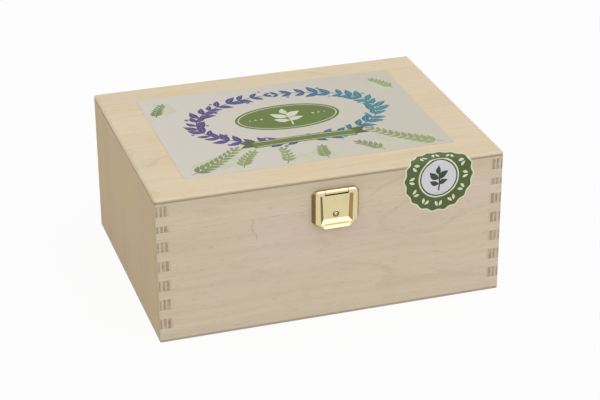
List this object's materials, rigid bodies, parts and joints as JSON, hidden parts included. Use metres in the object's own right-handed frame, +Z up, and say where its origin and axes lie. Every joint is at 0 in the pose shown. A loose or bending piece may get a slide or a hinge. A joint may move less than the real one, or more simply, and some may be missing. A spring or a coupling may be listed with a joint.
{
  "type": "seed organizer box",
  "caption": "Plywood seed organizer box with finger-jointed corners, hinged lid, brass snap clasp, fixed dividers, a paper label and a round paper seal.",
  "frame": {"origin": "centre of the underside of the bottom panel", "axes": "+Z up, +X to the right seen from the front, the clasp on the -Y face and the hinges on the +Y face"},
  "size_m": [0.23, 0.1831, 0.1002],
  "materials": {
    "plywood_wall": "raw sanded birch plywood, grain along the wall, dark glue lines on the finger ends",
    "plywood_side": "raw sanded birch plywood, grain upright, dark glue lines on the finger ends",
    "plywood_panel": "raw sanded thin birch plywood, rounded edges",
    "plywood_divider": "raw sanded thin birch plywood",
    "brass": "bright brass-plated pressed sheet",
    "label_paper": "matt printed paper, pale grey ground",
    "seal_paper": "satin printed paper, green with a pale edge"
  },
  "bodies": {
    "base": {"bottom_panel": "plywood_panel", "base_front_wall": "plywood_wall", "base_back_wall": "plywood_wall", "base_left_wall": "plywood_side", "base_right_wall": "plywood_side", "divider_long": "plywood_divider", "divider_cross_left": "plywood_divider", "divider_cross_right": "plywood_divider", "catch_plate": "brass", "catch_nails": "brass", "hinge_left_base_leaf": "brass", "hinge_right_base_leaf": "brass", "hinge_left_pin": "brass", "hinge_right_pin": "brass", "hinge_base_nails": "brass", "seal_lower": "seal_paper"},
    "lid": {"lid_panel": "plywood_panel", "lid_front_rail": "plywood_wall", "lid_back_rail": "plywood_wall", "lid_left_rail": "plywood_side", "lid_right_rail": "plywood_side", "hinge_left_lid_leaf": "brass", "hinge_right_lid_leaf": "brass", "hinge_lid_nails": "brass", "latch_plate": "brass", "latch_plate_nails": "brass", "latch_pin": "brass", "lid_label": "label_paper", "seal_upper": "seal_paper"},
    "hasp": {"hasp": "brass"}
  },
  "joints": [
    {"name": "lid_hinge", "type": "hinge", "parent": "base", "child": "lid", "pos_m": [0, 0.0895, 0.0776], "axis": [-1, 0, 0], "range_deg": [0, 180]},
    {"name": "hasp_hinge", "type": "hinge", "parent": "lid", "child": "hasp", "pos_m": [0.001, -0.08935, 0.09], "axis": [-1, 0, 0], "range_deg": [0, 175]}
  ]
}
